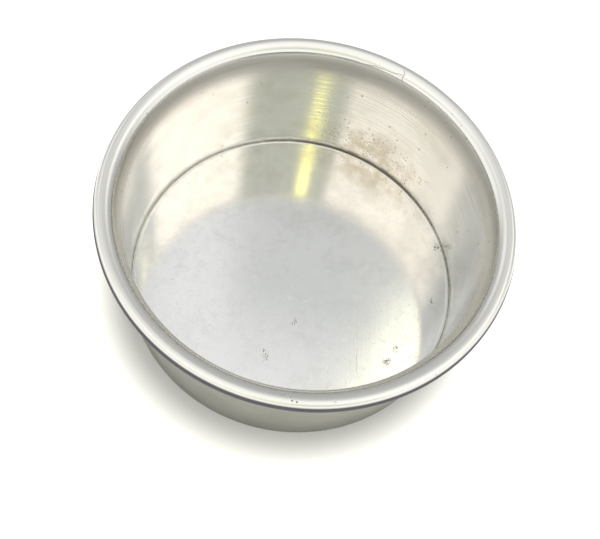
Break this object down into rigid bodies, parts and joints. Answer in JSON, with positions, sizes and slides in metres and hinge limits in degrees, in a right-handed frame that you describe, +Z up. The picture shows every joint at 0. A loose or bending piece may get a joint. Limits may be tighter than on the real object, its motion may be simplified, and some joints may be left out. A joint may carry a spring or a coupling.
{
  "type": "round cake tin",
  "caption": "Round straight-sided aluminium cake tin with a rolled rim and a loose base disc that lies on a ledge and pushes up to free the cake.",
  "frame": {"origin": "on the tin's axis, at the plane that it stands on", "axes": "+Z up along the tin's axis; +X and +Y are any two directions square to it, because the tin is round"},
  "size_m": [0.173, 0.173, 0.0695],
  "materials": {
    "spun_aluminium": "satin, with fine spin lines round the wall",
    "sheet_aluminium": "satin mill finish with fine straight grain"
  },
  "bodies": {
    "tin": {"tin_body": "spun_aluminium"},
    "base": {"loose_base": "sheet_aluminium"}
  },
  "joints": [
    {"name": "base_lift", "type": "slide", "parent": "tin", "child": "base", "axis": [0, 0, 1], "range_m": [0, 0.08]}
  ]
}
